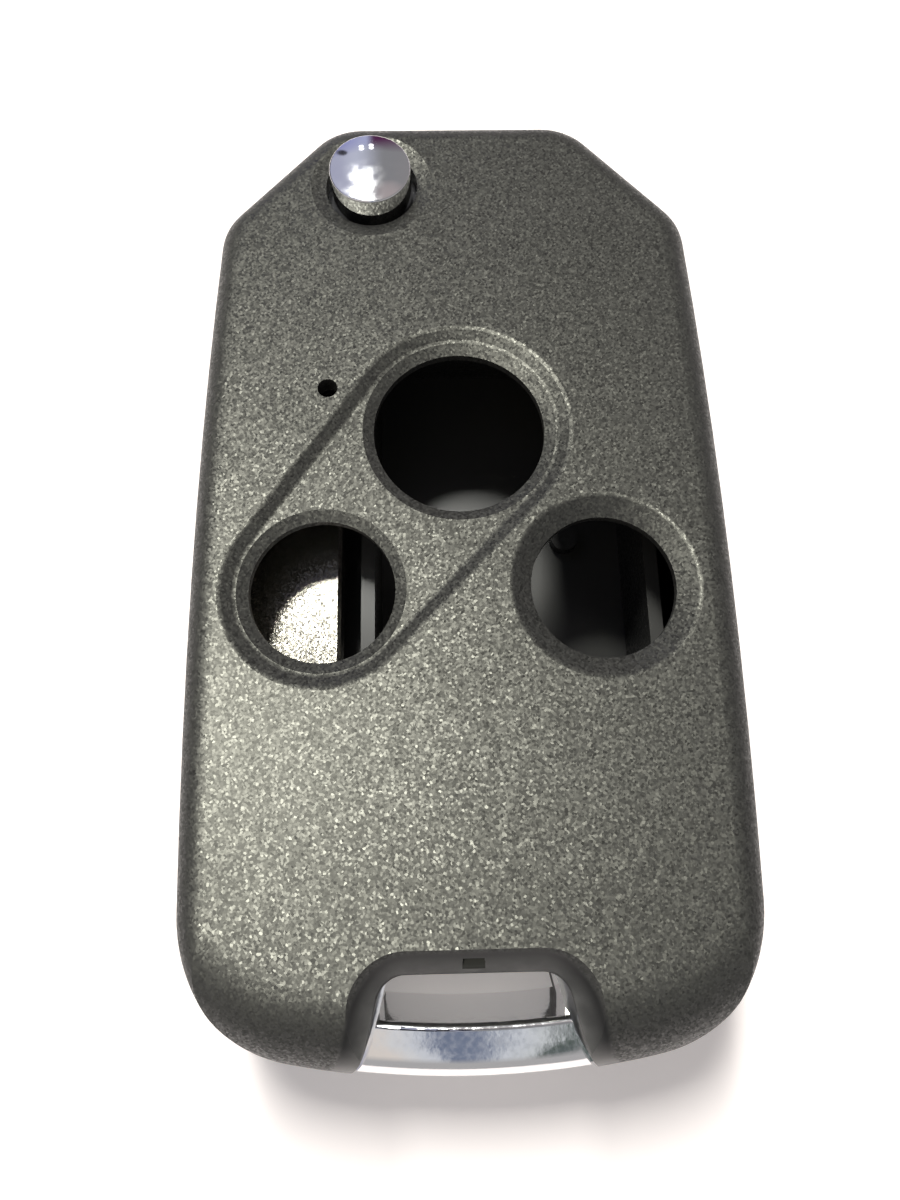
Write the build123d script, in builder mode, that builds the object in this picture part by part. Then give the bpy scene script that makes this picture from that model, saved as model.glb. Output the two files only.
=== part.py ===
from build123d import *
import os
from math import asin, atan2, degrees, radians, tan

os.makedirs("parts", exist_ok=True)

# Millimetres. +Z is the button face, +Y the head with the pivot, -Y the key ring end.
# The origin is on the underside, below the middle of the case.

# Case outline
case_length = 67.9
case_height = 15.0
head_edge = 18.4
head_depth = 9.1
belly_width = 36.7
belly_y = -4.0
side_bow = 0.85
tail_end_radius = 62.0
head_corner_radius = 5.0
shoulder_radius = 4.5
tail_corner_radius = 10.0
face_edge_radius = 2.1

# Wide roll of the tail end over both faces, which fades out along the tail's corners
front_roll_radius = 5.2
rear_roll_radius = 3.0
roll_corner_growth = 4.5
roll_side_overhang = 1.65
roll_side_angle = 12.4

# Walls of the two covers
plate = 1.5
skirt = 1.5
inner_edge_radius = 0.8
parting_z = 7.5
parting_break = 0.15
lip_height = 1.0
lip_wall = 0.65
lip_clearance = 0.1

# Button windows in the front cover
large_window_radius = 6.0
large_window_from_head = 26.35
small_window_radius = 4.87
small_window_from_head = 37.81
small_window_from_side = 8.97
window_bevel_width = 0.75
window_bevel_depth = 0.4
recess_border = 1.75
recess_slope = 0.85
recess_depth = 0.5
recess_floor_radius = 0.5
ring_border = 1.35
ring_depth = 0.9
rim_radius = 0.55
led_hole_radius = 0.7
led_hole_from_head = 23.33
led_hole_from_side = 9.19

# Notch for the key ring, and the frame that lines it
notch_depth = 6.4
notch_top_width = 11.0
notch_waist_depth = 1.8
notch_waist_width = 13.2
notch_mouth_overrun = 2.2
notch_mouth_width = 19.4
notch_corner_radius = 1.8
notch_flare_radius = 4.0
notch_slope = 1.6
notch_edge_radius = 0.4
notch_wall = 2.6
frame_width = 17.2
frame_height = 4.0
frame_border = 1.6
frame_reveal = 0.25
bar_width = 3.3
bar_height = 8.6
bar_outer_radius = 2.0
bar_inner_radius = 0.4
seat_clearance = 0.1
pry_slot_width = 1.3
pry_slot_height = 0.45
pry_slot_depth = 1.0

# Flip mechanism
pivot_from_side = 12.2
pivot_from_head = 6.2
drum_radius = 5.9
drum_height = 6.2
journal_radius = 4.8
journal_length = 2.3
hub_bore_radius = 3.85
running_fit = 0.05
axial_clearance = 0.2
swing_clearance = 0.3
collar_length = 8.0
collar_corner_radius = 0.8
socket_wall = 1.2
flank_corner_radius = 1.5
hub_edge_radius = 0.3
hub_wall = 1.2

# Blade
blade_width = 7.8
blade_thickness = 2.4
blade_tip_from_tail = 11.1
blade_tip_clearance = 1.4
blade_offset = 6.55
blade_tip_cut = 2.2
blade_tip_width = 3.6
blade_tip_bevel = 0.5
blade_edge_break = 0.25
blade_channel_clearance = 0.4
tang_width = 5.4
tang_length = 4.8
tang_clearance = 0.02
pin_radius = 0.8
pin_bore_radius = 0.45
pin_slit = 0.3
pin_inset = 2.4
pin_end_gap = 0.1

# Release button and spring
button_radius = 3.0
button_stand = 1.8
button_travel = 1.5
button_dome = 0.25
button_edge_radius = 0.12
button_socket_radius = 2.3
button_socket_depth = 2.2
button_hole_radius = 3.45
dish_radius = 4.55
dish_depth = 0.3
flange_height = 1.15
flange_clearance = 0.15
plunger_clearance = 0.1
wing_width = 1.8
wing_clearance = 0.1
stem_length = 4.2
spring_wire_radius = 0.35
spring_mean_radius = 3.2
spring_turns = 6
spring_end_gap = 0.05
anchor_radius = 3.6
anchor_height = 1.2
anchor_post_radius = 2.3
anchor_post_height = 2.5
anchor_key_across = 3.6
anchor_key_depth = 0.8
anchor_slot = 0.9

# Inside of the rear cover
blade_side_gap = 1.5
bay_from_side = 4.75
bay_wall = 1.0
bay_wall_top = 9.0
bay_corner_radius = 1.0
peg_radius = 1.1
peg_height = 1.2
peg_from_head = 30.35
peg_from_side = 9.45
blade_rest_thickness = 0.8
blade_rest_pitch = 13.4
blade_rest_count = 3
blade_rest_from_tail = 12.75

# Case screws
tail_screw_from_tail = 6.7
tail_screw_from_side = 6.05
head_screw_from_head = 9.1
head_screw_from_side = 6.75
screw_radius = 1.0
screw_length = 8.0
screw_tip = 1.0
screw_head_radius = 1.8
screw_head_height = 1.2
screw_recess_radius = 2.0
screw_recess_depth = 1.5
screw_hole_radius = 1.15
screw_pilot_depth = 5.0
boss_radius = 2.6
cross_width = 0.5
cross_length = 2.0
cross_depth = 0.7

# Places that follow from the sizes above
head_y = case_length / 2
tail_y = -case_length / 2
side_x = belly_width / 2
shoulder_width = belly_width - 2 * side_bow
shoulder_y = head_y - head_depth
side_radius = ((shoulder_y - belly_y) ** 2 + side_bow**2) / (2 * side_bow)
tail_centre_y = tail_y + tail_end_radius
ceiling_z = case_height - plate
recess_floor_z = case_height - recess_depth
large_window = (0, head_y - large_window_from_head)
left_window = (small_window_from_side - side_x, head_y - small_window_from_head)
right_window = (side_x - small_window_from_side, head_y - small_window_from_head)
led_hole = (led_hole_from_side - side_x, head_y - led_hole_from_head)
notch_top_y = tail_y + notch_depth
notch_waist_y = tail_y + notch_waist_depth
notch_mouth_y = tail_y - notch_mouth_overrun
pivot_x = pivot_from_side - side_x
pivot_y = head_y - pivot_from_head
hub_low_z = parting_z - drum_height / 2
hub_high_z = parting_z + drum_height / 2
slot_low_z = hub_low_z - axial_clearance
slot_high_z = hub_high_z + axial_clearance
channel_low_z = parting_z - blade_thickness / 2 - blade_channel_clearance
channel_high_z = parting_z + blade_thickness / 2 + blade_channel_clearance
blade_x = pivot_x - blade_offset
blade_outer_x = blade_x - blade_width / 2
blade_inner_x = blade_x + blade_width / 2
collar_end_y = pivot_y - collar_length
blade_tip_y = tail_y + blade_tip_from_tail
channel_end_y = blade_tip_y - blade_tip_clearance
pin_y = collar_end_y + pin_inset
journal_low_z = hub_low_z - journal_length - axial_clearance
journal_high_z = hub_high_z + journal_length
flange_high_z = ceiling_z - flange_clearance
flange_low_z = flange_high_z - flange_height
button_top_z = case_height + button_stand
dome_radius = (button_radius**2 + button_dome**2) / (2 * button_dome)
dome_angle = degrees(asin(button_radius / dome_radius))
anchor_top_z = plate + anchor_height
outside = 2 * case_length

wing_tip_radius = journal_radius - plunger_clearance
wing_slot_low_z = flange_low_z - button_travel - swing_clearance
frame_top_y = notch_top_y + frame_border
bar_rise = (bar_height - frame_height) / 2
coil_low_z = anchor_top_z + spring_end_gap + spring_wire_radius
coil_high_z = flange_low_z - spring_end_gap - spring_wire_radius
spring_rise = coil_high_z - coil_low_z
spring_pitch = spring_rise / spring_turns
bay_left_x = blade_inner_x + blade_side_gap + bay_wall
bay_right_x = side_x - bay_from_side
bay_top_y = pivot_y - drum_radius - swing_clearance - hub_wall - bay_wall - seat_clearance
peg_place = (side_x - peg_from_side, head_y - peg_from_head)
tail_screw_x = side_x - tail_screw_from_side
tail_screw_y = tail_y + tail_screw_from_tail
head_screw_x = side_x - head_screw_from_side
head_screw_y = head_y - head_screw_from_head
screw_places = [(-tail_screw_x, tail_screw_y), (tail_screw_x, tail_screw_y), (head_screw_x, head_screw_y)]
bay_foot_y = max(notch_top_y + notch_wall, tail_screw_y + boss_radius)
bay_bottom_y = bay_foot_y + seat_clearance + bay_wall
recess_taper = degrees(atan2(recess_slope, recess_depth))
bevel_angle = 2 * degrees(atan2(window_bevel_width, window_bevel_depth))
ring_angle = 2 * degrees(atan2(ring_border, ring_depth))
dish_angle = 2 * degrees(atan2(dish_radius - button_hole_radius, dish_depth))

pivot = Vector(pivot_x, pivot_y)
pivot_axis = Axis((pivot_x, pivot_y, 0), (0, 0, 1))
pivot_plane = Plane((pivot_x, pivot_y, 0), x_dir=(1, 0, 0), z_dir=(0, -1, 0))
head_corner = Vector(-head_edge / 2, head_y)
shoulder_corner = Vector(-shoulder_width / 2, shoulder_y)
flank_along = (shoulder_corner - head_corner).normalized()
flank_out = Vector(flank_along.Y, -flank_along.X)


def case_plan(inset=0.0):
    """The case's outline from above, drawn in all round by inset.

    It is where the chamfered head, the two slightly bowed sides and the bowed tail overlap.
    """
    reach = shoulder_corner + flank_along * case_length
    with BuildSketch(mode=Mode.PRIVATE) as plan:
        Polygon(
            (head_corner.X, head_corner.Y),
            (reach.X, reach.Y),
            (reach.X, -case_length),
            (-reach.X, -case_length),
            (-reach.X, reach.Y),
            (-head_corner.X, head_corner.Y),
            align=None,
        )
        if inset:
            offset(amount=-inset, kind=Kind.INTERSECTION)
        for side in (-1, 1):
            with Locations((side * (side_x - side_radius), belly_y)):
                Circle(side_radius - inset, mode=Mode.INTERSECT)
        add(tail_disc(tail_end_radius - inset), mode=Mode.INTERSECT)
        fillet(plan.vertices().group_by(Axis.Y)[0], tail_corner_radius - inset)
        if head_corner_radius > inset:
            fillet(plan.vertices().group_by(Axis.Y)[-1], head_corner_radius - inset)
        if shoulder_radius > inset:
            shoulders = [v for v in plan.vertices() if abs(v.Y - shoulder_y) < shoulder_radius]
            fillet(shoulders, shoulder_radius - inset)
    return plan.sketch


def notch_plan(grow=0.0):
    """The key ring notch from above, open past the tail end and drawn out all round by grow."""
    with BuildSketch(mode=Mode.PRIVATE) as plan:
        Polygon(
            (-notch_mouth_width / 2, notch_mouth_y),
            (-notch_waist_width / 2, notch_waist_y),
            (-notch_top_width / 2, notch_top_y),
            (notch_top_width / 2, notch_top_y),
            (notch_waist_width / 2, notch_waist_y),
            (notch_mouth_width / 2, notch_mouth_y),
            align=None,
        )
        if grow:
            offset(amount=grow, kind=Kind.INTERSECTION)
        fillet(plan.vertices().group_by(Axis.Y)[1], notch_flare_radius - grow)
        fillet(plan.vertices().group_by(Axis.Y)[-1], notch_corner_radius + grow)
    return plan.sketch


def tail_disc(radius):
    """A disc whose rim runs along the bowed tail end."""
    with BuildSketch(mode=Mode.PRIVATE) as disc:
        with Locations((0, tail_centre_y)):
            Circle(radius)
    return disc.sketch


def frame_opening():
    """Plan of the opening through the key ring frame."""
    with BuildSketch(mode=Mode.PRIVATE) as opening:
        add(notch_plan(-frame_reveal))
        add(tail_disc(tail_end_radius - bar_width), mode=Mode.INTERSECT)
    return opening.sketch


def hub_plan():
    """The flip hub from above, folded: a drum with a collar that carries the blade beside the pivot.

    The collar's flank is tangent to the drum and parallel to the chamfer of the case's head.
    """
    flank_start = pivot + flank_out * drum_radius
    flank_run = (blade_outer_x - flank_start.X) / flank_along.X
    flank_end = flank_start + flank_along * flank_run
    with BuildSketch(mode=Mode.PRIVATE) as plan:
        with BuildLine():
            Polyline(
                (pivot.X, pivot.Y),
                (flank_start.X, flank_start.Y),
                (flank_end.X, flank_end.Y),
                (blade_outer_x, collar_end_y),
                (blade_inner_x, collar_end_y),
                (blade_inner_x, pivot_y - drum_radius / 2),
                close=True,
            )
        make_face()
        fillet(plan.vertices().group_by(Axis.Y)[0], collar_corner_radius)
        fillet(plan.vertices().sort_by_distance(flank_end)[0], flank_corner_radius)
        with Locations((pivot_x, pivot_y)):
            Circle(drum_radius)
    return plan.sketch


def swing_room():
    """Plan of the room between the covers that the hub needs from folded to open."""
    left = -belly_width
    right = pivot_x + blade_offset + blade_width / 2 + swing_clearance
    open_start = pivot - flank_out * (drum_radius + swing_clearance)
    open_run = (right - open_start.X) / -flank_along.X
    open_end = open_start - flank_along * open_run
    with BuildSketch(mode=Mode.PRIVATE) as room:
        with BuildLine():
            Polyline(
                (left, collar_end_y - swing_clearance),
                (blade_inner_x + swing_clearance, collar_end_y - swing_clearance),
                (blade_inner_x + swing_clearance, pivot_y),
                (pivot.X, pivot.Y),
                (open_start.X, open_start.Y),
                (open_end.X, open_end.Y),
                (right, case_length),
                (left, case_length),
                close=True,
            )
        make_face()
        with Locations((pivot_x, pivot_y)):
            Circle(drum_radius + swing_clearance)
    return room.sketch


def hub_wall_plan():
    """Plan of the wall round the room that the hub swings in, on the side of the electronics."""
    with BuildSketch(mode=Mode.PRIVATE) as wall:
        add(swing_room())
        offset(amount=hub_wall)
        add(swing_room(), mode=Mode.SUBTRACT)
        with Locations(((bay_left_x + shoulder_width / 2) / 2, shoulder_y)):
            Rectangle(shoulder_width / 2 - bay_left_x, outside, mode=Mode.INTERSECT)
        add(case_plan(skirt / 2), mode=Mode.INTERSECT)
    return wall.sketch


def rolled_block(inset, low_z, high_z):
    """A block whose end is the bowed tail, rolled over widely at both faces.

    Its sides spread towards the head, out of the case, so that the roll fades out along them. It is
    drawn in all round by inset, so that one form shapes the tail's outside and its inside.
    """
    tail_half = side_x + roll_side_overhang
    side_spread = tan(radians(roll_side_angle))
    far_y = head_y + 2 * front_roll_radius
    narrow_half = tail_half - (case_length + tail_y) * side_spread
    wide_half = tail_half + (far_y - tail_y) * side_spread
    with BuildPart() as block:
        with BuildSketch(Plane.XY.offset(low_z)) as plan:
            Polygon(
                (-narrow_half, -case_length),
                (-wide_half, far_y),
                (wide_half, far_y),
                (narrow_half, -case_length),
                align=None,
            )
            if inset:
                offset(amount=-inset, kind=Kind.INTERSECTION)
            add(tail_disc(tail_end_radius - inset), mode=Mode.INTERSECT)
            fillet(plan.vertices().group_by(Axis.Y)[0], tail_corner_radius + roll_corner_growth - inset)
        extrude(amount=high_z - low_z)
        fillet(block.faces().sort_by(Axis.Z)[-1].edges(), front_roll_radius - inset)
        fillet(block.faces().sort_by(Axis.Z)[0].edges(), rear_roll_radius - inset)
    return block.part


# Forms of the tail's outside and of its inside, a wall's thickness further in
outside_form = rolled_block(0, 0, case_height)
inside_form = rolled_block(skirt, plate, ceiling_z)

# Form of the room inside both covers
with BuildPart() as cavity_form:
    with BuildSketch(Plane.XY.offset(plate)):
        add(case_plan(skirt))
    extrude(amount=ceiling_z - plate)
    fillet(cavity_form.faces().filter_by(Axis.Z).edges(), inner_edge_radius)
    add(inside_form, mode=Mode.INTERSECT)

# Form of the notch: straight through both covers, sloped at each face, with the slopes' edges rounded
with BuildPart() as notch_form:
    with BuildSketch():
        add(notch_plan())
    extrude(amount=case_height)
    with BuildSketch():
        add(notch_plan(notch_slope))
    extrude(amount=notch_slope, taper=45)
    with BuildSketch(Plane.XY.offset(case_height)):
        add(notch_plan(notch_slope))
    extrude(amount=-notch_slope, taper=45)
    rims = notch_form.edges().filter_by(Plane.XY).group_by(Axis.Z)
    fillet(rims[1] + rims[-2], notch_edge_radius)

# Front cover: moulded shell with the button windows, the release button's hole and the notch
with BuildPart() as front_cover:
    with BuildSketch(Plane.XY.offset(parting_z)):
        add(case_plan())
    extrude(amount=case_height - parting_z)
    fillet(front_cover.faces().sort_by(Axis.Z)[-1].edges(), face_edge_radius)
    chamfer(front_cover.faces().sort_by(Axis.Z)[0].edges(), parting_break)
    add(cavity_form.part, mode=Mode.SUBTRACT)
    # Screw bosses and the wall round the hub's room hang from the plate
    with BuildSketch(Plane.XY.offset(parting_z)):
        with Locations(*screw_places):
            Circle(boss_radius)
        add(hub_wall_plan())
    extrude(amount=ceiling_z - parting_z)
    # Wall round the notch
    with BuildSketch(Plane.XY.offset(parting_z)):
        add(notch_plan(notch_wall))
        add(case_plan(skirt / 2), mode=Mode.INTERSECT)
    extrude(amount=ceiling_z - parting_z)
    add(outside_form, mode=Mode.INTERSECT)
    # Rebate for the rear cover's lip
    with BuildSketch(Plane.XY.offset(parting_z)):
        add(case_plan(skirt - lip_wall - lip_clearance))
        add(case_plan(skirt + lip_clearance), mode=Mode.SUBTRACT)
    extrude(amount=lip_height + lip_clearance, mode=Mode.SUBTRACT)
    # Room between the covers for the swinging hub and the folded blade
    with BuildSketch(Plane.XY.offset(parting_z)):
        add(swing_room())
    extrude(amount=slot_high_z - parting_z, mode=Mode.SUBTRACT)
    with BuildSketch(Plane.XY.offset(parting_z)):
        with Locations((blade_inner_x, channel_end_y)):
            Rectangle(outside, collar_end_y - channel_end_y, align=(Align.MAX, Align.MIN))
    extrude(amount=channel_high_z - parting_z, mode=Mode.SUBTRACT)
    # Socket that the hub's upper journal turns in
    with BuildSketch(Plane.XY.offset(slot_high_z)):
        with Locations((pivot_x, pivot_y)):
            Circle(journal_radius + running_fit + socket_wall)
        add(case_plan(skirt / 2), mode=Mode.INTERSECT)
    extrude(amount=ceiling_z - slot_high_z)
    with BuildSketch(Plane.XY.offset(slot_high_z)):
        with Locations((pivot_x, pivot_y)):
            Circle(journal_radius + running_fit)
    extrude(amount=ceiling_z - slot_high_z, mode=Mode.SUBTRACT)
    # Release button's hole in a shallow dish
    with Locations((pivot_x, pivot_y, case_height)):
        CounterSinkHole(button_hole_radius, dish_radius, plate, dish_angle)
    # Sloped recess that joins the large window and the left one
    with BuildSketch(Plane.XY.offset(case_height)):
        with Locations(large_window):
            Circle(large_window_radius + recess_border)
        with Locations(left_window):
            Circle(small_window_radius + recess_border)
        make_hull()
    extrude(amount=-recess_depth, taper=recess_taper, mode=Mode.SUBTRACT)
    fillet(front_cover.faces().filter_by(Axis.Z).sort_by(Axis.Z)[-2].edges(), recess_floor_radius)
    # The right window in a dished ring of its own, and the rims of ring and recess softened
    with Locations((*right_window, case_height)):
        CounterSinkHole(small_window_radius, small_window_radius + ring_border, plate, ring_angle)
    for rim in front_cover.faces().filter_by(Axis.Z).sort_by(Axis.Z)[-1].inner_wires():
        fillet(rim.edges(), rim_radius)
    # The other two windows, with bevelled edges in the recess
    with Locations((*large_window, recess_floor_z)):
        CounterSinkHole(large_window_radius, large_window_radius + window_bevel_width, plate, bevel_angle)
    with Locations((*left_window, recess_floor_z)):
        CounterSinkHole(small_window_radius, small_window_radius + window_bevel_width, plate, bevel_angle)
    with Locations((*led_hole, case_height)):
        Hole(led_hole_radius, plate)
    # Notch, with a pry slot in the middle of its back slope
    add(notch_form.part, mode=Mode.SUBTRACT)
    with BuildSketch(Plane.XY.offset(case_height - (notch_slope + pry_slot_height) / 2)):
        with Locations((0, notch_top_y)):
            Rectangle(pry_slot_width, notch_slope + pry_slot_depth, align=(Align.CENTER, Align.MIN))
    extrude(amount=pry_slot_height, mode=Mode.SUBTRACT)
    # Seat for the key ring frame
    with BuildSketch(Plane.XY.offset(parting_z)):
        with Locations((0, frame_top_y + seat_clearance)):
            Rectangle(frame_width + 2 * seat_clearance, outside, align=(Align.CENTER, Align.MAX))
    extrude(amount=frame_height / 2, mode=Mode.SUBTRACT)
    # Blind holes for the case screws
    with Locations(*[Plane((x, y, parting_z), z_dir=(0, 0, -1)) for x, y in screw_places]):
        Hole(screw_radius, screw_pilot_depth)
front_cover.part.label = "front_cover"
export_step(front_cover.part, "parts/front_cover.step")

# Rear cover: moulded tray with the lip, the bay for the electronics and the blade's channel
with BuildPart() as rear_cover:
    with BuildSketch():
        add(case_plan())
    extrude(amount=parting_z)
    fillet(rear_cover.faces().sort_by(Axis.Z)[0].edges(), face_edge_radius)
    chamfer(rear_cover.faces().sort_by(Axis.Z)[-1].edges(), parting_break)
    add(cavity_form.part, mode=Mode.SUBTRACT)
    with BuildSketch(Plane.XY.offset(parting_z)):
        add(case_plan(skirt - lip_wall))
        add(case_plan(skirt), mode=Mode.SUBTRACT)
    extrude(amount=lip_height)
    # Screw bosses, and the walls round the hub's room and the notch
    with BuildSketch(Plane.XY.offset(plate)):
        with Locations(*screw_places):
            Circle(boss_radius)
        add(hub_wall_plan())
        add(notch_plan(notch_wall))
        add(case_plan(skirt / 2), mode=Mode.INTERSECT)
    extrude(amount=parting_z - plate)
    add(outside_form, mode=Mode.INTERSECT)
    # Bay for the electronics
    with BuildSketch(Plane.XY.offset(plate)):
        with Locations(((bay_left_x + bay_right_x) / 2, (bay_top_y + bay_bottom_y) / 2)):
            RectangleRounded(
                bay_right_x - bay_left_x + 2 * bay_wall,
                bay_top_y - bay_bottom_y + 2 * bay_wall,
                bay_corner_radius + bay_wall,
            )
            RectangleRounded(
                bay_right_x - bay_left_x,
                bay_top_y - bay_bottom_y,
                bay_corner_radius,
                mode=Mode.SUBTRACT,
            )
    extrude(amount=bay_wall_top - plate)
    with BuildSketch(Plane.XY.offset(plate)):
        with Locations(peg_place):
            Circle(peg_radius)
    extrude(amount=peg_height)
    # Cross ribs under the folded blade
    with BuildSketch(Plane.XY.offset(plate)):
        for number in range(blade_rest_count):
            rest_y = tail_y + blade_rest_from_tail + number * blade_rest_pitch
            with Locations((bay_left_x - bay_wall / 2, rest_y)):
                Rectangle(outside, blade_rest_thickness, align=(Align.MAX, Align.CENTER))
        add(case_plan(skirt / 2), mode=Mode.INTERSECT)
    extrude(amount=channel_low_z - plate)
    # Room between the covers for the swinging hub and the folded blade
    with BuildSketch(Plane.XY.offset(slot_low_z)):
        add(swing_room())
    extrude(amount=case_height, mode=Mode.SUBTRACT)
    with BuildSketch(Plane.XY.offset(channel_low_z)):
        with Locations((blade_inner_x, channel_end_y)):
            Rectangle(outside, collar_end_y - channel_end_y, align=(Align.MAX, Align.MIN))
    extrude(amount=case_height, mode=Mode.SUBTRACT)
    # Socket that the hub's lower journal turns in
    with BuildSketch(Plane.XY.offset(plate)):
        with Locations((pivot_x, pivot_y)):
            Circle(journal_radius + running_fit + socket_wall)
        add(case_plan(skirt / 2), mode=Mode.INTERSECT)
    extrude(amount=slot_low_z - plate)
    with BuildSketch(Plane.XY.offset(plate)):
        with Locations((pivot_x, pivot_y)):
            Circle(journal_radius + running_fit)
    extrude(amount=slot_low_z - plate, mode=Mode.SUBTRACT)
    # Six-sided recess for the spring anchor's key
    with BuildSketch(Plane.XY.offset(plate)):
        with Locations((pivot_x, pivot_y)):
            RegularPolygon(anchor_key_across / 2, 6, major_radius=False)
    extrude(amount=-anchor_key_depth, mode=Mode.SUBTRACT)
    add(notch_form.part, mode=Mode.SUBTRACT)
    # Seat for the key ring frame
    with BuildSketch(Plane.XY.offset(parting_z - frame_height / 2)):
        with Locations((0, frame_top_y + seat_clearance)):
            Rectangle(frame_width + 2 * seat_clearance, outside, align=(Align.CENTER, Align.MAX))
    extrude(amount=case_height, mode=Mode.SUBTRACT)
    # Screw holes, recessed for the heads
    with Locations(*[Plane((x, y, 0), z_dir=(0, 0, -1)) for x, y in screw_places]):
        CounterBoreHole(screw_hole_radius, screw_recess_radius, screw_recess_depth, parting_z)
rear_cover.part.label = "rear_cover"
export_step(rear_cover.part, "parts/rear_cover.step")

# Key ring frame: a closed metal ring held between the covers, with a thick bowed bar at the end
with BuildPart() as key_ring_loop:
    with BuildSketch(Plane.XY.offset(parting_z - frame_height / 2)):
        with Locations((0, frame_top_y)):
            Rectangle(frame_width, outside, align=(Align.CENTER, Align.MAX))
        add(case_plan(), mode=Mode.INTERSECT)
        add(frame_opening(), mode=Mode.SUBTRACT)
    extrude(amount=frame_height)
    with BuildSketch(Plane.XY.offset(parting_z - bar_height / 2)):
        add(notch_plan(-frame_reveal))
        add(tail_disc(tail_end_radius), mode=Mode.INTERSECT)
        add(tail_disc(tail_end_radius - bar_width), mode=Mode.SUBTRACT)
    extrude(amount=bar_height)
    for rim in (key_ring_loop.faces().sort_by(Axis.Z)[0], key_ring_loop.faces().sort_by(Axis.Z)[-1]):
        arcs = rim.edges().filter_by(GeomType.CIRCLE).sort_by(SortBy.RADIUS)
        fillet(arcs[-1], min(bar_outer_radius, bar_rise - seat_clearance))
    for rim in (key_ring_loop.faces().sort_by(Axis.Z)[0], key_ring_loop.faces().sort_by(Axis.Z)[-1]):
        arcs = rim.edges().filter_by(GeomType.CIRCLE).sort_by(Axis.Y)
        fillet(arcs[-1], bar_inner_radius)
key_ring_loop.part.label = "key_ring_loop"
export_step(key_ring_loop.part, "parts/key_ring_loop.step")

# Flip hub: a die-cast drum with two journals, bored for the spring, and a collar for the blade
with BuildPart() as flip_hub:
    with BuildSketch(Plane.XY.offset(hub_low_z)):
        add(hub_plan())
    extrude(amount=drum_height)
    fillet(flip_hub.edges().filter_by(Plane.XY), hub_edge_radius)
    with BuildSketch(Plane.XY.offset(journal_low_z)):
        with Locations((pivot_x, pivot_y)):
            Circle(journal_radius)
    extrude(amount=journal_high_z - journal_low_z)
    with Locations((pivot_x, pivot_y, journal_high_z)):
        Hole(hub_bore_radius, journal_high_z - journal_low_z)
    # Slots that the plunger's wings slide in
    with BuildSketch(Plane.XY.offset(wing_slot_low_z)):
        with Locations((pivot_x, pivot_y)):
            Rectangle(2 * drum_radius, wing_width + 2 * wing_clearance)
            Circle(wing_tip_radius + plunger_clearance, mode=Mode.INTERSECT)
    extrude(amount=journal_high_z - wing_slot_low_z, mode=Mode.SUBTRACT)
    # Socket for the blade's tang, and the cross hole for its pin
    with BuildSketch(Plane.XY.offset(parting_z - blade_thickness / 2 - tang_clearance)):
        with Locations((blade_x, collar_end_y)):
            Rectangle(
                tang_width + 2 * tang_clearance,
                tang_length + tang_clearance,
                align=(Align.CENTER, Align.MIN),
            )
    extrude(amount=blade_thickness + 2 * tang_clearance, mode=Mode.SUBTRACT)
    with Locations((blade_x, pin_y, hub_high_z)):
        Hole(pin_radius, drum_height)
flip_hub.part.label = "flip_hub"
export_step(flip_hub.part, "parts/flip_hub.step")

# Key blade: a flat uncut blank with a pointed tip and a narrower tang
with BuildPart() as key_blade:
    with BuildSketch(Plane.XY.offset(parting_z - blade_thickness / 2)):
        with BuildLine():
            Polyline(
                (blade_outer_x, collar_end_y),
                (blade_outer_x, blade_tip_y + blade_tip_cut),
                (blade_x - blade_tip_width / 2, blade_tip_y),
                (blade_x + blade_tip_width / 2, blade_tip_y),
                (blade_inner_x, blade_tip_y + blade_tip_cut),
                (blade_inner_x, collar_end_y),
                close=True,
            )
        make_face()
    extrude(amount=blade_thickness)
    tip_edges = key_blade.edges().filter_by(GeomType.LINE).group_by(Axis.Y)[0]
    chamfer(tip_edges.filter_by(Axis.X), blade_tip_bevel)
    chamfer(key_blade.edges().filter_by(Axis.Y), blade_edge_break)
    with BuildSketch(Plane.XY.offset(parting_z - blade_thickness / 2)):
        with Locations((blade_x, collar_end_y)):
            Rectangle(tang_width, tang_length, align=(Align.CENTER, Align.MIN))
    extrude(amount=blade_thickness)
    with Locations((blade_x, pin_y, hub_high_z)):
        Hole(pin_radius, drum_height)
key_blade.part.label = "key_blade"
export_step(key_blade.part, "parts/key_blade.step")

# Roll pin: a slit steel tube driven through the collar and the tang
with BuildPart() as blade_roll_pin:
    with BuildSketch(Plane.XY.offset(hub_low_z + pin_end_gap)):
        with Locations((blade_x, pin_y)):
            Circle(pin_radius)
            Circle(pin_bore_radius, mode=Mode.SUBTRACT)
            Rectangle(pin_slit, 2 * pin_radius, align=(Align.CENTER, Align.MIN), mode=Mode.SUBTRACT)
    extrude(amount=drum_height - 2 * pin_end_gap)
blade_roll_pin.part.label = "blade_roll_pin"
export_step(blade_roll_pin.part, "parts/blade_roll_pin.step")

# Release button: a turned cap with a slightly domed top, pressed over the plunger's spigot
with BuildPart() as release_button:
    with BuildSketch(pivot_plane):
        with BuildLine():
            Polyline(
                (0, button_top_z),
                (0, flange_high_z + button_socket_depth),
                (button_socket_radius, flange_high_z + button_socket_depth),
                (button_socket_radius, flange_high_z),
                (button_radius, flange_high_z),
                (button_radius, button_top_z - button_dome),
            )
            CenterArc((0, button_top_z - dome_radius), dome_radius, 90 - dome_angle, dome_angle)
        make_face()
    revolve(axis=pivot_axis)
    top_rim = release_button.edges().filter_by(lambda edge: edge.is_closed).sort_by(Axis.Z)[-1]
    fillet(top_rim, button_edge_radius)
release_button.part.label = "release_button"
export_step(release_button.part, "parts/release_button.step")

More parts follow.
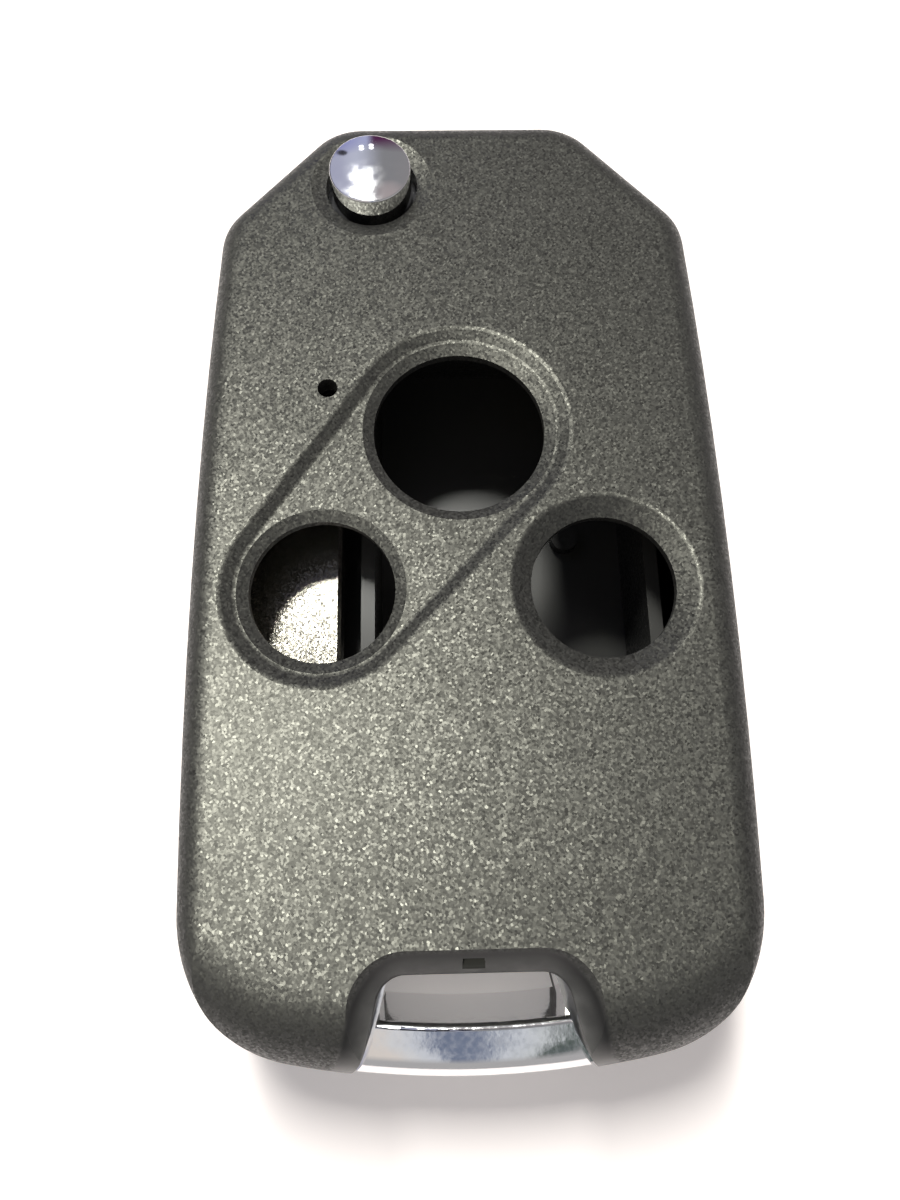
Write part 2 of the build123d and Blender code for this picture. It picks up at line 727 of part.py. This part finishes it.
# Plunger: a flange with two wings that key it to the hub, a spigot above and a stem below
with BuildPart() as button_plunger:
    with BuildSketch(Plane.XY.offset(flange_low_z)):
        with Locations((pivot_x, pivot_y)):
            Rectangle(2 * drum_radius, wing_width)
            Circle(wing_tip_radius, mode=Mode.INTERSECT)
            Circle(hub_bore_radius - plunger_clearance)
    extrude(amount=flange_height)
    with BuildSketch(Plane.XY.offset(flange_low_z - stem_length)):
        with Locations((pivot_x, pivot_y)):
            Circle(button_socket_radius)
    extrude(amount=stem_length + flange_height + button_socket_depth)
button_plunger.part.label = "button_plunger"
export_step(button_plunger.part, "parts/button_plunger.step")

# Spring: lifts the plunger and drives the hub; its lower end is bent down into the anchor
with BuildPart() as flip_spring:
    with BuildLine() as coil:
        Helix(spring_pitch, spring_rise, spring_mean_radius, center=(pivot_x, pivot_y, coil_low_z))
    with BuildSketch(coil.line ^ 0):
        Circle(spring_wire_radius)
    sweep(is_frenet=True)
    with BuildSketch(Plane.XY.offset(plate + spring_end_gap)):
        with Locations((pivot_x + spring_mean_radius, pivot_y)):
            Circle(spring_wire_radius)
    extrude(amount=coil_low_z + spring_wire_radius / 2 - plate - spring_end_gap)
flip_spring.part.label = "flip_spring"
export_step(flip_spring.part, "parts/flip_spring.step")

# Spring anchor: a keyed disc on the rear cover's floor with a post inside the spring
with BuildPart() as spring_anchor:
    with BuildSketch(Plane.XY.offset(plate)):
        with Locations((pivot_x, pivot_y)):
            Circle(anchor_radius)
    extrude(amount=anchor_height)
    with BuildSketch(Plane.XY.offset(plate)):
        with Locations((pivot_x, pivot_y)):
            Circle(anchor_post_radius)
    extrude(amount=anchor_height + anchor_post_height)
    with BuildSketch(Plane.XY.offset(plate)):
        with Locations((pivot_x, pivot_y)):
            RegularPolygon(anchor_key_across / 2, 6, major_radius=False)
    extrude(amount=-anchor_key_depth)
    with BuildSketch(Plane.XY.offset(plate)):
        with Locations((pivot_x + anchor_post_radius, pivot_y)):
            Rectangle(anchor_radius, anchor_slot, align=(Align.MIN, Align.CENTER))
    extrude(amount=anchor_height, mode=Mode.SUBTRACT)
spring_anchor.part.label = "spring_anchor"
export_step(spring_anchor.part, "parts/spring_anchor.step")

# Case screws: small pan-head screws driven in from the rear
for number, (x, y) in enumerate(screw_places, start=1):
    with BuildPart() as case_screw:
        with BuildSketch(Plane((x, y, 0), x_dir=(1, 0, 0), z_dir=(0, -1, 0))) as screw_section:
            with BuildLine():
                Polyline(
                    (0, screw_recess_depth - screw_head_height),
                    (screw_head_radius, screw_recess_depth - screw_head_height),
                    (screw_head_radius, screw_recess_depth),
                    (screw_radius, screw_recess_depth),
                    (screw_radius, screw_recess_depth + screw_length - screw_tip),
                    (0, screw_recess_depth + screw_length),
                    close=True,
                )
            make_face()
            head_rim = screw_section.vertices().group_by(Axis.X)[-1].sort_by(Axis.Y)[0]
            fillet(head_rim, screw_head_height / 2)
        revolve(axis=Axis((x, y, 0), (0, 0, 1)))
        with BuildSketch(Plane.XY.offset(screw_recess_depth - screw_head_height)):
            with Locations((x, y)):
                Rectangle(cross_length, cross_width)
                Rectangle(cross_width, cross_length)
        extrude(amount=cross_depth, mode=Mode.SUBTRACT)
    case_screw.part.label = f"case_screw_{number}"
    export_step(case_screw.part, f"parts/case_screw_{number}.step")
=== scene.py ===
import math
import bpy
from mathutils import Matrix, Quaternion, Vector


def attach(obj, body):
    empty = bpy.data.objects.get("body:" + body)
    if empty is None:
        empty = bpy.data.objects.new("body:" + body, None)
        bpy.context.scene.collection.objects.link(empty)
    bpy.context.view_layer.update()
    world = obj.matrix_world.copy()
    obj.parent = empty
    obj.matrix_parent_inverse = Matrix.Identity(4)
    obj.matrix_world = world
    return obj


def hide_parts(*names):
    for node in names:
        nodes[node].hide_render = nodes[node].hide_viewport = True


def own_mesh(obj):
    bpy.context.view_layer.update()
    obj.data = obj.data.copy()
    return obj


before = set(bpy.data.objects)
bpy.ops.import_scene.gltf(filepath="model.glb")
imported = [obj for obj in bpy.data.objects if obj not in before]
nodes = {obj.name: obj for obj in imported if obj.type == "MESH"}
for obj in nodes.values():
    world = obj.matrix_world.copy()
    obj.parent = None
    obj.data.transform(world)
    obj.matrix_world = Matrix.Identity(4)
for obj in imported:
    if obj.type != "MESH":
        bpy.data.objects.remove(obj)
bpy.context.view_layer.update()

# Rear cover. The tray of the case, injection moulded in black ABS. Its outside has the same
# spark-eroded grain as the front's, cut into the mould, and its floor inside is plain satin. The
# other pieces are laid into it, and the front cover closes it.
def new_finish(name, base_color, roughness, metallic=0.0):
    """A finish with its colour, roughness and metal share set on the shader."""
    finish = bpy.data.materials.new(name)
    finish.use_nodes = True
    shader = finish.node_tree.nodes["Principled BSDF"]
    shader.inputs["Base Color"].default_value = (*base_color, 1.0)
    shader.inputs["Roughness"].default_value = roughness
    shader.inputs["Metallic"].default_value = metallic
    return finish, finish.node_tree, shader


def dress(finish, *names):
    """Give those pieces that finish and no other."""
    for name in names:
        nodes[name].data.materials.clear()
        nodes[name].data.materials.append(finish)


def feed(tree, socket, value):
    """Link a socket to another one, or set it to a number or a colour."""
    if isinstance(value, bpy.types.NodeSocket):
        tree.links.new(value, socket)
    elif socket.type == "RGBA":
        socket.default_value = (*value, 1.0)
    else:
        socket.default_value = value


def reckon(tree, operation, first, second=0.0):
    """The result of one sum on two values, each a number or a socket."""
    node = tree.nodes.new("ShaderNodeMath")
    node.operation = operation
    feed(tree, node.inputs[0], first)
    feed(tree, node.inputs[1], second)
    return node.outputs["Value"]


def spread(tree, value, low, high, from_low=0.3, from_high=0.7):
    """Value drawn out to low and high, from the usual range of a noise or a given range."""
    span = tree.nodes.new("ShaderNodeMapRange")
    span.inputs["From Min"].default_value = from_low
    span.inputs["From Max"].default_value = from_high
    span.inputs["To Min"].default_value = low
    span.inputs["To Max"].default_value = high
    tree.links.new(value, span.inputs["Value"])
    return span.outputs["Result"]


def blend(tree, share, first, second):
    """Second over first by share, which is from 0 to 1. Each is a colour or a socket."""
    mix = tree.nodes.new("ShaderNodeMix")
    mix.data_type = "RGBA"
    tree.links.new(share, mix.inputs["Factor"])
    feed(tree, mix.inputs["A"], first)
    feed(tree, mix.inputs["B"], second)
    return mix.outputs["Result"]


def coordinate(tree, kind, axis):
    """X, Y or Z of the place on the piece, which is kind Object, or of the way it faces, Normal."""
    place = tree.nodes.new("ShaderNodeTexCoord")
    split = tree.nodes.new("ShaderNodeSeparateXYZ")
    tree.links.new(place.outputs[kind], split.inputs["Vector"])
    return split.outputs[axis]


def leaning_grains(tree, size_mm, lean):
    """Grains that are small facets, each with its own lean. Gives their normal and random lots."""
    place = tree.nodes.new("ShaderNodeTexCoord")
    grains = tree.nodes.new("ShaderNodeTexVoronoi")
    grains.inputs["Scale"].default_value = 1000.0 / size_mm
    lots = tree.nodes.new("ShaderNodeSeparateColor")
    surface = tree.nodes.new("ShaderNodeNewGeometry")
    centred = tree.nodes.new("ShaderNodeVectorMath")
    centred.operation = "SUBTRACT"
    centred.inputs[1].default_value = (0.5, 0.5, 0.5)
    aside = tree.nodes.new("ShaderNodeVectorMath")
    aside.operation = "SCALE"
    leant = tree.nodes.new("ShaderNodeVectorMath")
    leant.operation = "ADD"
    facet = tree.nodes.new("ShaderNodeVectorMath")
    facet.operation = "NORMALIZE"
    tree.links.new(place.outputs["Object"], grains.inputs["Vector"])
    tree.links.new(grains.outputs["Color"], lots.inputs["Color"])
    tree.links.new(grains.outputs["Color"], centred.inputs[0])
    tree.links.new(centred.outputs["Vector"], aside.inputs[0])
    tree.links.new(lean, aside.inputs["Scale"])
    tree.links.new(surface.outputs["Normal"], leant.inputs[0])
    tree.links.new(aside.outputs["Vector"], leant.inputs[1])
    tree.links.new(leant.outputs["Vector"], facet.inputs[0])
    return facet.outputs["Vector"], lots


def spark_grain(tree, shader, grained):
    """Eroded grain where grained is 1, and plain satin where it is 0."""
    grain_mm, most_lean = 0.14, 0.23
    deep_black, grey_black = (0.012, 0.012, 0.011), (0.036, 0.036, 0.033)
    satin_roughness, eroded_roughness, uneven_by = 0.32, 0.47, 0.10
    facet, lots = leaning_grains(tree, grain_mm, reckon(tree, "MULTIPLY", grained, most_lean))
    darkened = reckon(tree, "MULTIPLY", lots.outputs["Green"], grained)
    tone = blend(tree, reckon(tree, "SUBTRACT", 1.0, darkened), deep_black, grey_black)
    even = spread(tree, grained, satin_roughness, eroded_roughness, 0.0, 1.0)
    uneven = spread(tree, lots.outputs["Blue"], -uneven_by, uneven_by, 0.0, 1.0)
    roughness = reckon(tree, "ADD", even, reckon(tree, "MULTIPLY", uneven, grained))
    tree.links.new(tone, shader.inputs["Base Color"])
    tree.links.new(roughness, shader.inputs["Roughness"])
    tree.links.new(facet, shader.inputs["Normal"])
    return tone, roughness


abs_black, abs_roughness, abs_gloss = (0.030, 0.031, 0.028), 0.44, 0.35
spark_black, tree, shader = new_finish("spark_black", abs_black, abs_roughness)
shader.inputs["Specular IOR Level"].default_value = abs_gloss
side_facing, floor_facing = 0.35, 0.55
facing_up = coordinate(tree, "Normal", "Z")
spark_grain(tree, shader, spread(tree, facing_up, 1.0, 0.0, side_facing, floor_facing))
dress(spark_black, "rear_cover")

# Spring anchor and plunger. Both are moulded in black nylon, smoother than the case. The anchor's
# hexagon drops into the rear cover's floor. The plunger slides in the hub under the button.
def noise_of(tree, size_mm, detail=2.0, stretch=(1.0, 1.0, 1.0)):
    """Noise with features of about that size, fixed to the piece. Stretch draws them out."""
    place = tree.nodes.new("ShaderNodeTexCoord")
    mapping = tree.nodes.new("ShaderNodeMapping")
    mapping.inputs["Scale"].default_value = tuple(1.0 / s for s in stretch)
    noise = tree.nodes.new("ShaderNodeTexNoise")
    noise.inputs["Scale"].default_value = 1000.0 / size_mm
    noise.inputs["Detail"].default_value = detail
    tree.links.new(place.outputs["Object"], mapping.inputs["Vector"])
    tree.links.new(mapping.outputs["Vector"], noise.inputs["Vector"])
    return noise.outputs["Fac"]


def uneven_polish(tree, shader, value, smoothest, roughest):
    """Roughness that goes from smoothest to roughest with a noise."""
    tree.links.new(spread(tree, value, smoothest, roughest), shader.inputs["Roughness"])


def relief(tree, shader, height, depth_mm):
    """Relief of that depth on the surface, from a height between 0 and 1."""
    bump = tree.nodes.new("ShaderNodeBump")
    bump.inputs["Distance"].default_value = depth_mm / 1000.0
    bump.inputs["Strength"].default_value = 1.0
    tree.links.new(height, bump.inputs["Height"])
    tree.links.new(bump.outputs["Normal"], shader.inputs["Normal"])


nylon_black, tree, shader = new_finish("nylon_black", (0.035, 0.035, 0.036), 0.38)
uneven_polish(tree, shader, noise_of(tree, size_mm=1.6), 0.32, 0.45)
relief(tree, shader, noise_of(tree, size_mm=0.25), depth_mm=0.006)
dress(nylon_black, "spring_anchor", "button_plunger")

# Flip spring and roll pin. Both are drawn and rolled from bright spring steel, with fine marks
# along the wire. The spring stands round the anchor's post, and the pin is driven in. The real
# spring shortens under the button; here it is shown by a copy of its mesh, fixed to the case.
spring_bright, tree, shader = new_finish("spring_bright", (0.50, 0.50, 0.51), 0.26, metallic=1.0)
draw_marks = noise_of(tree, size_mm=0.12, stretch=(4.0, 4.0, 1.0))
uneven_polish(tree, shader, draw_marks, 0.20, 0.36)
relief(tree, shader, draw_marks, depth_mm=0.004)
dress(spring_bright, "flip_spring", "blade_roll_pin")
spring_coil = bpy.data.objects.new("spring_coil", nodes["flip_spring"].data.copy())
bpy.context.scene.collection.objects.link(spring_coil)
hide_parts("flip_spring")
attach(spring_coil, "case")
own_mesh(spring_coil)

# Flip hub. The drum and collar that carry the blade, die-cast in zinc, tumbled and nickel plated
# to a satin. It runs in a socket in each cover, and above its upper journal it is painted near
# black, as painted shade in the gap round the button.
satin_zinc, tree, shader = new_finish("satin_zinc", (0.56, 0.56, 0.57), 0.34, metallic=1.0)
tumbled = noise_of(tree, size_mm=0.6, detail=3.0)
nickel = blend(tree, spread(tree, tumbled, 0.0, 1.0), (0.50, 0.50, 0.51), (0.61, 0.61, 0.62))
# Painted shade: the hub's top, down in the gap round the button, is coloured near black.
shade_painted_above = 0.0122
shade_painted_top = reckon(tree, "GREATER_THAN", coordinate(tree, "Object", "Z"), shade_painted_above)
tree.links.new(blend(tree, shade_painted_top, nickel, (0.06, 0.06, 0.055)), shader.inputs["Base Color"])
uneven_polish(tree, shader, tumbled, 0.28, 0.42)
relief(tree, shader, noise_of(tree, size_mm=0.2), depth_mm=0.008)
dress(satin_zinc, "flip_hub")

# Key blade. An uncut blank stamped from warm grey nickel silver, blasted to an even grain on its
# faces. It folds into the slot at the case's left side, and its face shows in the left window.
nickel_silver, tree, shader = new_finish("nickel_silver", (0.76, 0.73, 0.64), 0.28, metallic=1.0)
blasted = noise_of(tree, size_mm=0.3)
warm_grey = blend(tree, spread(tree, blasted, 0.0, 1.0), (0.70, 0.66, 0.55), (0.84, 0.81, 0.73))
edge_facing, face_facing = 0.6, 0.9
face_lean = 0.12
facing_flat = reckon(tree, "ABSOLUTE", coordinate(tree, "Normal", "Z"))
lean = spread(tree, facing_flat, 0.0, face_lean, edge_facing, face_facing)
lean = reckon(tree, "MULTIPLY", spread(tree, blasted, 0.7, 1.0), lean)
facet, lots = leaning_grains(tree, size_mm=0.11, lean=lean)
smoothest, roughest = 0.15, 0.26
roughness = spread(tree, lots.outputs["Blue"], smoothest, roughest, 0.0, 1.0)
tree.links.new(warm_grey, shader.inputs["Base Color"])
tree.links.new(roughness, shader.inputs["Roughness"])
tree.links.new(facet, shader.inputs["Normal"])
dress(nickel_silver, "key_blade")

# Key ring frame. Zinc, polished and chromed, laid between the covers in the notch. The plating
# follows the slight waves of the polishing.
frame_chrome, tree, shader = new_finish("frame_chrome", (0.90, 0.90, 0.91), 0.05, metallic=1.0)
uneven_polish(tree, shader, noise_of(tree, size_mm=0.35), 0.04, 0.13)
fine_waves = reckon(tree, "MULTIPLY", noise_of(tree, size_mm=0.4), 0.05)
polish_waves = reckon(tree, "ADD", noise_of(tree, size_mm=4.5, detail=1.0), fine_waves)
relief(tree, shader, polish_waves, depth_mm=0.05)
dress(frame_chrome, "key_ring_loop")

# Release button. A turned brass cap, mirror polished and chromed. It is pressed over the plunger's
# spigot, and stands a little proud of the front cover.
button_chrome, tree, shader = new_finish("button_chrome", (0.86, 0.86, 0.88), 0.04, metallic=1.0)
uneven_polish(tree, shader, noise_of(tree, size_mm=0.7), 0.025, 0.06)
relief(tree, shader, noise_of(tree, size_mm=2.5, detail=1.0), depth_mm=0.004)
dress(button_chrome, "release_button")

# Front cover. Moulded in the same ABS as the rear one, with its grain over the whole face and its
# inside plain. The grain stops short of the notch, whose slope and walls are satin, with painted
# shade
# and light on the slope: dark at its outer edge and paler towards the opening. The small slot at
# the notch's head is painted near black as shade, and made fully rough.
cover_black, tree, shader = new_finish("cover_black", abs_black, abs_roughness)
shader.inputs["Specular IOR Level"].default_value = abs_gloss
notch_top, notch_waist, notch_mouth = -0.02755, -0.03215, -0.03615
top_half, waist_half, mouth_half = 0.0055, 0.0066, 0.0097
notch_corner = 0.0018
along = coordinate(tree, "Object", "Y")
across = reckon(tree, "ABSOLUTE", coordinate(tree, "Object", "X"))
neck = spread(tree, along, waist_half, top_half, notch_waist, notch_top)
flare = spread(tree, along, mouth_half - waist_half, 0.0, notch_mouth, notch_waist)
beside = reckon(tree, "SUBTRACT", across, reckon(tree, "ADD", neck, flare))
beyond = reckon(tree, "SUBTRACT", along, notch_top)
beside = reckon(tree, "MAXIMUM", reckon(tree, "ADD", beside, notch_corner), 0.0)
beyond = reckon(tree, "MAXIMUM", reckon(tree, "ADD", beyond, notch_corner), 0.0)
squares = [reckon(tree, "POWER", offset, 2.0) for offset in (beside, beyond)]
from_notch = reckon(tree, "SQRT", reckon(tree, "ADD", *squares))
satin_to, grain_from = notch_corner + 0.0013, notch_corner + 0.0016
outside_notch = spread(tree, from_notch, 0.0, 1.0, satin_to, grain_from)
inner_facing, outer_facing = -0.55, -0.35
outer_face = spread(tree, coordinate(tree, "Normal", "Z"), 0.0, 1.0, inner_facing, outer_facing)
grained = reckon(tree, "MULTIPLY", outside_notch, outer_face)
tone, roughness = spark_grain(tree, shader, grained)
# Painted shade and light on the notch's slope: near black at its outer edge, paler towards the
# opening, blotched by a noise.
rim_starts, rim_ends = notch_corner + 0.0001, notch_corner + 0.0012
slope_lit_share = spread(tree, from_notch, 1.0, 0.0, rim_starts, rim_ends)
slope_lit_share = reckon(tree, "MULTIPLY", slope_lit_share, spread(tree, noise_of(tree, size_mm=1.2), 0.55, 1.0))
painted_slope_shading = blend(tree, slope_lit_share, (0.008, 0.008, 0.008), (0.095, 0.095, 0.090))
tone = blend(tree, reckon(tree, "SUBTRACT", 1.0, outside_notch), tone, painted_slope_shading)
slot_half, slot_roof = 0.00068, 0.01425
slot_start, slot_end = notch_top + 0.00035, notch_top + 0.002
shaded_slot = reckon(tree, "LESS_THAN", across, slot_half)
for within in (
    reckon(tree, "GREATER_THAN", along, slot_start),
    reckon(tree, "LESS_THAN", coordinate(tree, "Object", "Z"), slot_roof),
    reckon(tree, "LESS_THAN", along, slot_end),
):
    shaded_slot = reckon(tree, "MULTIPLY", shaded_slot, within)
# Painted shade: the slot is coloured near black, as the shade inside it.
tone = blend(tree, shaded_slot, tone, (0.004, 0.004, 0.004))
tree.links.new(tone, shader.inputs["Base Color"])
tree.links.new(reckon(tree, "MAXIMUM", roughness, shaded_slot), shader.inputs["Roughness"])
dress(cover_black, "front_cover")

# Case screws. Three small pan-head screws of blackened steel, driven up from the back into
# blind holes in the front cover.
screw_black, tree, shader = new_finish("screw_black", (0.16, 0.16, 0.17), 0.36, metallic=1.0)
uneven_polish(tree, shader, noise_of(tree, size_mm=0.5), 0.30, 0.48)
relief(tree, shader, noise_of(tree, size_mm=0.15), depth_mm=0.005)
dress(screw_black, "case_screw_1", "case_screw_2", "case_screw_3")

# Table top. A large sheet of white paper that the shell lies on. It glows a little to the camera
# and in mirror images, which keeps it near white there, and it keeps the shell's shadow.
table_half = 0.28
table_height = -0.00003
sheet_mesh = bpy.data.meshes.new("table_top")
corners = ((-1, -1), (1, -1), (1, 1), (-1, 1))
sheet_mesh.from_pydata(
    [(table_half * x, table_half * y, table_height) for x, y in corners],
    [],
    [(0, 1, 2, 3)],
)
table_top = bpy.data.objects.new("table_top", sheet_mesh)
bpy.context.scene.collection.objects.link(table_top)
table_white = bpy.data.materials.new("table_white")
table_white.use_nodes = True
tree = table_white.node_tree
tree.nodes.remove(tree.nodes["Principled BSDF"])
paper = tree.nodes.new("ShaderNodeBsdfDiffuse")
paper.inputs["Color"].default_value = (0.92, 0.87, 0.84, 1.0)
glow = tree.nodes.new("ShaderNodeEmission")
glow.inputs["Color"].default_value = (1.0, 0.97, 0.95, 1.0)
table_glow = 0.18
rays = tree.nodes.new("ShaderNodeLightPath")
seen = reckon(tree, "MAXIMUM", rays.outputs["Is Camera Ray"], rays.outputs["Is Transmission Ray"])
seen = reckon(tree, "MAXIMUM", seen, rays.outputs["Is Glossy Ray"])
both = tree.nodes.new("ShaderNodeAddShader")
tree.links.new(reckon(tree, "MULTIPLY", seen, table_glow), glow.inputs["Strength"])
tree.links.new(paper.outputs["BSDF"], both.inputs[0])
tree.links.new(glow.outputs["Emission"], both.inputs[1])
tree.links.new(both.outputs["Shader"], tree.nodes["Material Output"].inputs["Surface"])
sheet_mesh.materials.append(table_white)

# Room. White to the camera, and a plain room to the object. Beyond the head it is violet grey, and
# dark low down at the right. Beyond the key ring it has soft upright bands, and a few round patches
# give the button what it mirrors.
room = bpy.data.worlds.new("room")
bpy.context.scene.world = room
room.use_nodes = True
tree = room.node_tree
ceiling = tree.nodes["Background"]
toward = tree.nodes.new("ShaderNodeTexCoord").outputs["Generated"]
aim = tree.nodes.new("ShaderNodeSeparateXYZ")
tree.links.new(toward, aim.inputs["Vector"])


def bands(tree, value, low, high, stops):
    """Soft bands of colour along value, with each stop a share of the way from low to high."""
    ramp = tree.nodes.new("ShaderNodeValToRGB")
    ramp.color_ramp.interpolation = "EASE"
    ramp.color_ramp.elements.remove(ramp.color_ramp.elements[-1])
    for number, (share, color) in enumerate(stops):
        stop = ramp.color_ramp.elements[0] if number == 0 else ramp.color_ramp.elements.new(share)
        stop.position = share
        stop.color = (*color, 1.0)
    tree.links.new(spread(tree, value, 0.0, 1.0, low, high), ramp.inputs["Fac"])
    return ramp.outputs["Color"]


far_left, far_right = -0.45, 0.35
near_left, near_right = -0.30, 0.30
far_side = bands(tree, aim.outputs["X"], far_left, far_right, (
    (0.00, (0.36, 0.37, 0.47)),
    (0.20, (0.40, 0.41, 0.53)),
    (0.36, (0.50, 0.52, 0.63)),
    (0.62, (0.24, 0.24, 0.25)),
    (1.00, (0.28, 0.26, 0.26)),
))
far_low = bands(tree, aim.outputs["X"], far_left, far_right, (
    (0.00, (0.03, 0.03, 0.05)),
    (0.20, (0.20, 0.20, 0.50)),
    (0.45, (0.40, 0.42, 0.62)),
    (0.52, (0.08, 0.02, 0.07)),
    (0.78, (0.10, 0.03, 0.09)),
    (1.00, (0.30, 0.28, 0.30)),
))
near_side = bands(tree, aim.outputs["X"], near_left, near_right, (
    (0.00, (0.62, 0.57, 0.53)),
    (0.33, (0.70, 0.64, 0.59)),
    (0.39, (0.66, 0.66, 0.67)),
    (0.46, (0.60, 0.62, 0.67)),
    (0.51, (0.15, 0.18, 0.26)),
    (0.56, (0.18, 0.21, 0.29)),
    (0.62, (0.60, 0.62, 0.66)),
    (0.69, (0.58, 0.60, 0.61)),
    (0.74, (0.09, 0.11, 0.10)),
    (0.79, (0.10, 0.12, 0.12)),
    (0.86, (0.34, 0.34, 0.34)),
))
plain_wall = (0.42, 0.41, 0.41)
far_is_low = spread(tree, aim.outputs["Z"], 1.0, 0.0, 0.50, 0.60)
near_is_low = spread(tree, aim.outputs["Z"], 1.0, 0.0, 0.35, 0.65)
is_near = spread(tree, aim.outputs["Y"], 1.0, 0.0, -0.22, -0.14)
far_side = blend(tree, far_is_low, far_side, far_low)
near_side = blend(tree, near_is_low, near_side, plain_wall)
walls = blend(tree, is_near, far_side, near_side)


def patch(tree, toward, walls, middle, inner_degrees, outer_degrees, color):
    """A soft patch of colour round that direction, over the walls' own."""
    near_middle = tree.nodes.new("ShaderNodeVectorMath")
    near_middle.operation = "DOT_PRODUCT"
    near_middle.inputs[1].default_value = tuple(Vector(middle).normalized())
    tree.links.new(toward, near_middle.inputs[0])
    inner, outer = math.cos(math.radians(inner_degrees)), math.cos(math.radians(outer_degrees))
    share = spread(tree, near_middle.outputs["Value"], 0.0, 1.0, outer, inner)
    return blend(tree, share, walls, color)


bright = (3.0, 3.0, 3.0)
for middle, inner_degrees, outer_degrees, color in (
    ((-0.17, 0.22, 0.95), 10.0, 15.0, (0.02, 0.02, 0.03)),
    ((-0.114, 0.812, 0.572), 0.6, 1.0, bright),
    ((-0.116, 0.830, 0.546), 0.6, 1.0, bright),
    ((-0.052, 0.820, 0.569), 0.6, 1.0, bright),
    ((-0.053, 0.838, 0.543), 0.6, 1.0, bright),
    ((-0.232, 0.786, 0.572), 1.0, 1.8, (0.04, 0.04, 0.05)),
    ((0.10, 0.45, 0.89), 2.0, 9.0, (0.40, 0.35, 0.35)),
):
    walls = patch(tree, toward, walls, middle, inner_degrees, outer_degrees, color)
tree.links.new(walls, ceiling.inputs["Color"])
ceiling.inputs["Strength"].default_value = 1.0
white = tree.nodes.new("ShaderNodeBackground")
white.inputs["Color"].default_value = (1.0, 1.0, 1.0, 1.0)
white.inputs["Strength"].default_value = 1.0
rays = tree.nodes.new("ShaderNodeLightPath")
choose = tree.nodes.new("ShaderNodeMixShader")
tree.links.new(rays.outputs["Is Camera Ray"], choose.inputs["Fac"])
tree.links.new(ceiling.outputs["Background"], choose.inputs[1])
tree.links.new(white.outputs["Background"], choose.inputs[2])
tree.links.new(choose.outputs["Shader"], tree.nodes["World Output"].inputs["Surface"])

# Lamps. A tall soft one beyond the head lights the part and the table. A second one in the same
# place is its mirror image in the blade, the chrome and the case's inside. A third one above the
# left side gives the front cover's grain its sheen.
def soft_lamp(name, toward, across, along, turned, watts, color):
    """An oblong lamp in that direction from the shell's middle, facing it."""
    distance = 0.60
    lamp = bpy.data.lights.new(name, "AREA")
    lamp.shape = "RECTANGLE"
    lamp.size = across
    lamp.size_y = along
    lamp.energy = watts
    lamp.color = color
    holder = bpy.data.objects.new(name, lamp)
    aim = Vector(toward).normalized()
    holder.location = aim * distance
    holder.rotation_euler = (aim.to_track_quat("Z", "Y") @ Quaternion((0, 0, 1), turned)).to_euler()
    bpy.context.scene.collection.objects.link(holder)
    return holder


def shine_only_on(lamp, takers_name, *names):
    """Keep that lamp's light to those pieces."""
    takers = bpy.data.collections.new(takers_name)
    for name in names:
        takers.objects.link(nodes[name])
    lamp.light_linking.receiver_collection = takers


beyond_head = (-0.15, 0.64, 1.0)
tall_across, tall_along = 0.085, 0.215
tall_turned = math.radians(-14)
bounce_lamp = soft_lamp(
    "bounce_lamp", beyond_head, tall_across, tall_along, tall_turned, 5.0, (1.0, 0.985, 0.95)
)
bounce_lamp.visible_glossy = False
glint_lamp = soft_lamp(
    "glint_lamp", beyond_head, tall_across, tall_along, tall_turned, 8.0, (1.0, 1.0, 0.94)
)
glint_lamp.visible_diffuse = False
above_left = (-0.30, 0.08, 1.0)
sheen_side = 0.16
sheen_lamp = soft_lamp(
    "sheen_lamp", above_left, sheen_side, sheen_side, 0.0, 13.2, (1.0, 0.99, 0.82)
)
sheen_lamp.visible_diffuse = False
shine_only_on(sheen_lamp, "sheen_takers", "front_cover")
shine_only_on(
    glint_lamp,
    "glint_takers",
    "rear_cover",
    "key_blade",
    "release_button",
    "key_ring_loop",
    "blade_roll_pin",
)

# Camera. It looks down from above the key ring end, and a little towards the head. Its place and
# lens come from a fit to the outline, the windows and the release button.
camera_data = bpy.data.cameras.new("camera")
camera_data.sensor_width = 36.0
camera_data.lens = 23.62
camera_data.clip_start = 0.005
camera = bpy.data.objects.new("camera", camera_data)
camera_place = (-0.001826, -0.018023, 0.064502)
tilt, turn, roll = math.radians(14.905), math.radians(-3.885), math.radians(2.704)
camera.matrix_world = (
    Matrix.Translation(camera_place)
    @ Matrix.Rotation(turn, 4, "Z")
    @ Matrix.Rotation(tilt, 4, "X")
    @ Matrix.Rotation(roll, 4, "Z")
)
bpy.context.scene.collection.objects.link(camera)
bpy.context.scene.camera = camera
bpy.context.scene.view_settings.view_transform = "Standard"
